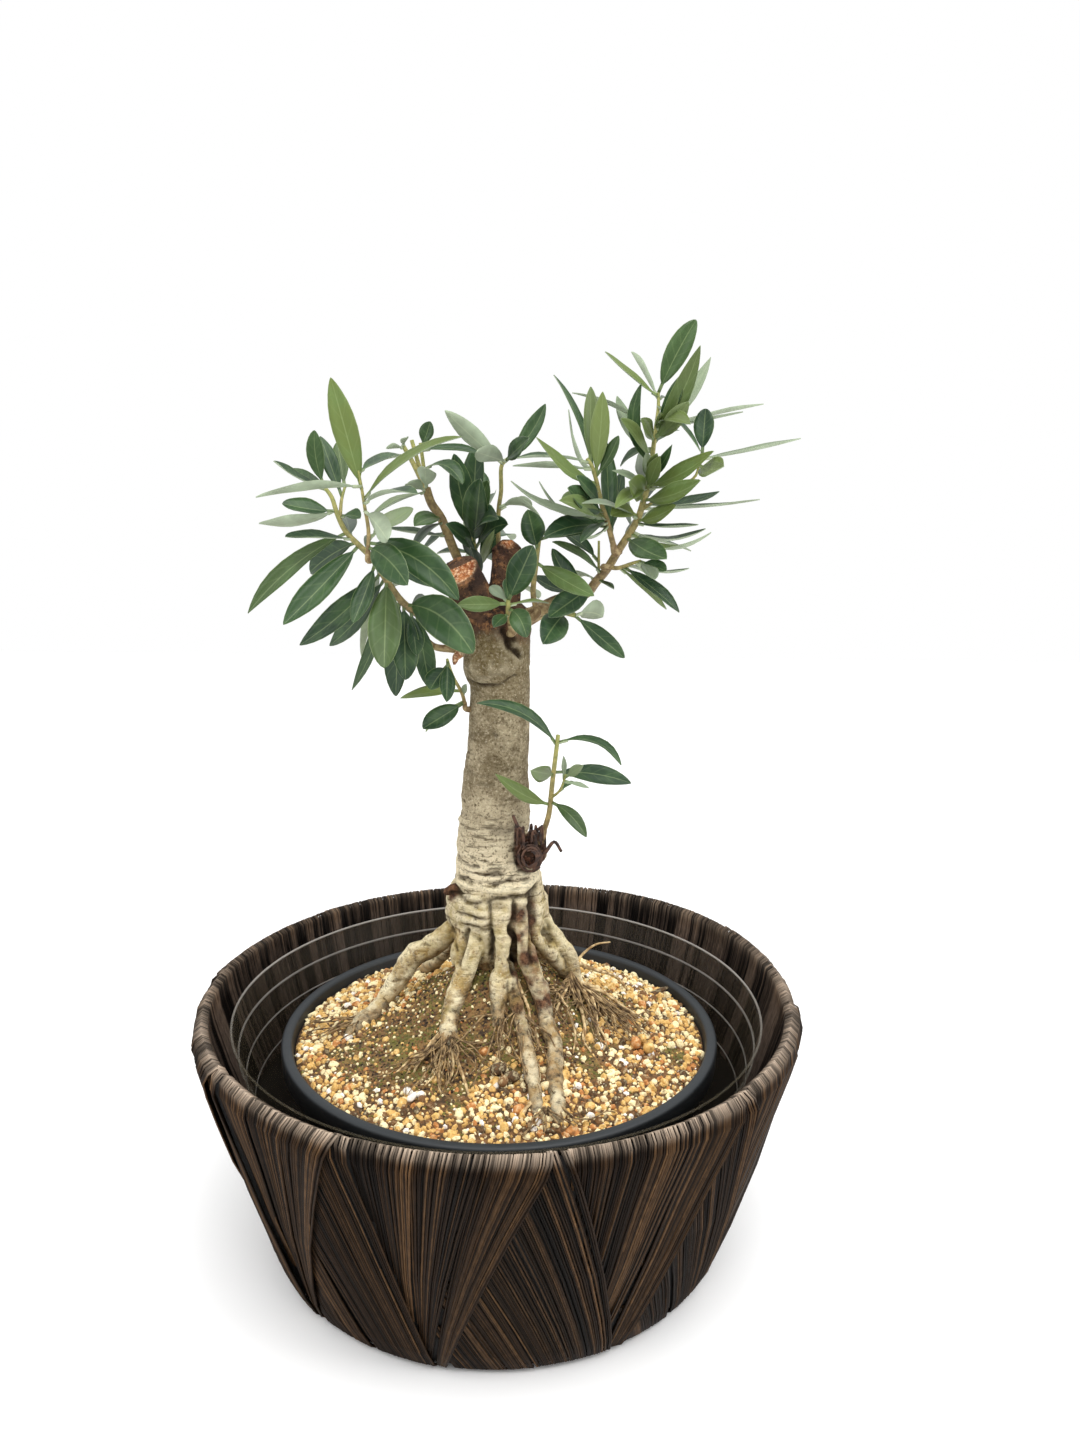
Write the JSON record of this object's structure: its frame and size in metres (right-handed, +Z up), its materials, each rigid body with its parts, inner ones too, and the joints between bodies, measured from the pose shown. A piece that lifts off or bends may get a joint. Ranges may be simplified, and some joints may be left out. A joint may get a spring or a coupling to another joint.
{
  "type": "potted olive bonsai",
  "caption": "Olive bonsai with a thick pruned trunk, bare roots over a mound of grit and sprays of narrow leaves, in a round black nursery pot inside a clear liner and a wicker cachepot.",
  "frame": {"origin": "middle of the underside of the cachepot", "axes": "+Z up along the trunk, -Y towards the front, +X to the right"},
  "size_m": [0.2444, 0.2417, 0.369],
  "materials": {
    "wicker": "dark brown stained strands, satin",
    "clear_plastic": "clear, glossy",
    "black_plastic": "black, matte",
    "grit": "loose ochre, cream and brown grains",
    "bark": "grey-tan, fissured, dull",
    "foliage": "dark green upper face with a soft sheen, pale grey-green underside"
  },
  "bodies": {
    "root": {"cachepot": "wicker", "liner": "clear_plastic", "nursery_pot": "black_plastic", "soil": "grit", "trunk": "bark", "left_spray": "foliage", "left_upright_spray": "foliage", "mid_left_spray": "foliage", "centre_spray": "foliage", "centre_tall_spray": "foliage", "front_sprig": "foliage", "front_twig_spray": "foliage", "right_low_spray": "foliage", "right_spray": "foliage", "right_inner_spray": "foliage", "right_under_spray": "foliage", "low_left_sprig": "foliage", "sucker_shoot": "foliage", "back_spray": "foliage"}
  },
  "joints": []
}
